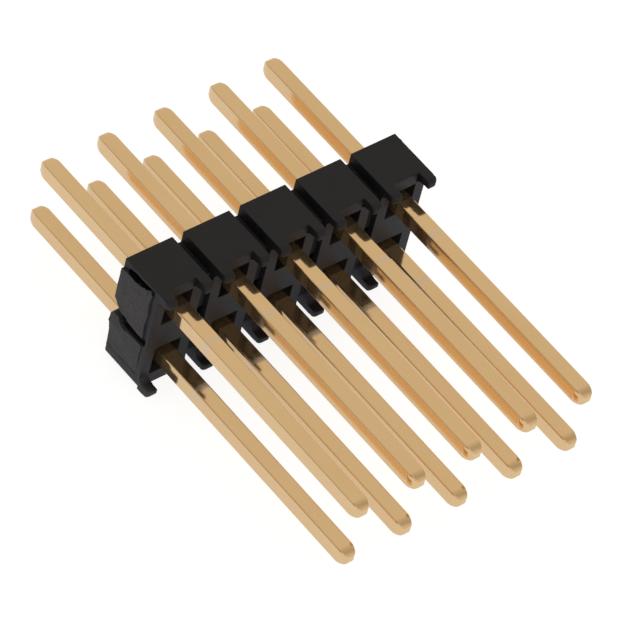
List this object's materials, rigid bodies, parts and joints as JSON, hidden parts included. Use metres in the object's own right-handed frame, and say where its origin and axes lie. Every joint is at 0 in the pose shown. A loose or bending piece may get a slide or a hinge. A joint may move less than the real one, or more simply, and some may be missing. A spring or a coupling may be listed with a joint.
{
  "type": "pin header strip",
  "caption": "Two-row straight pin header strip: square gilt pins through a moulded black insulator with stand-off feet, break notches and torn ends.",
  "frame": {"origin": "Below the middle of the strip: x at the middle pin column, y at half the pin length, z at the insulator's lower face.", "axes": "+X along the row of five columns, +Y along the pins towards the short posts, +Z from the lower row of pins to the upper one. The strip lies flat, as in the picture."},
  "size_m": [0.0129, 0.0184, 0.005],
  "materials": {
    "plastic": "black moulded thermoplastic, satin on the moulded faces and rough where it is torn",
    "gold": "thin gold plating over drawn copper alloy, smooth with faint drawing lines along the pin"
  },
  "bodies": {
    "root": {"insulator": "plastic", "pin_upper_1": "gold", "pin_upper_2": "gold", "pin_upper_3": "gold", "pin_upper_4": "gold", "pin_upper_5": "gold", "pin_lower_1": "gold", "pin_lower_2": "gold", "pin_lower_3": "gold", "pin_lower_4": "gold", "pin_lower_5": "gold"}
  },
  "joints": []
}
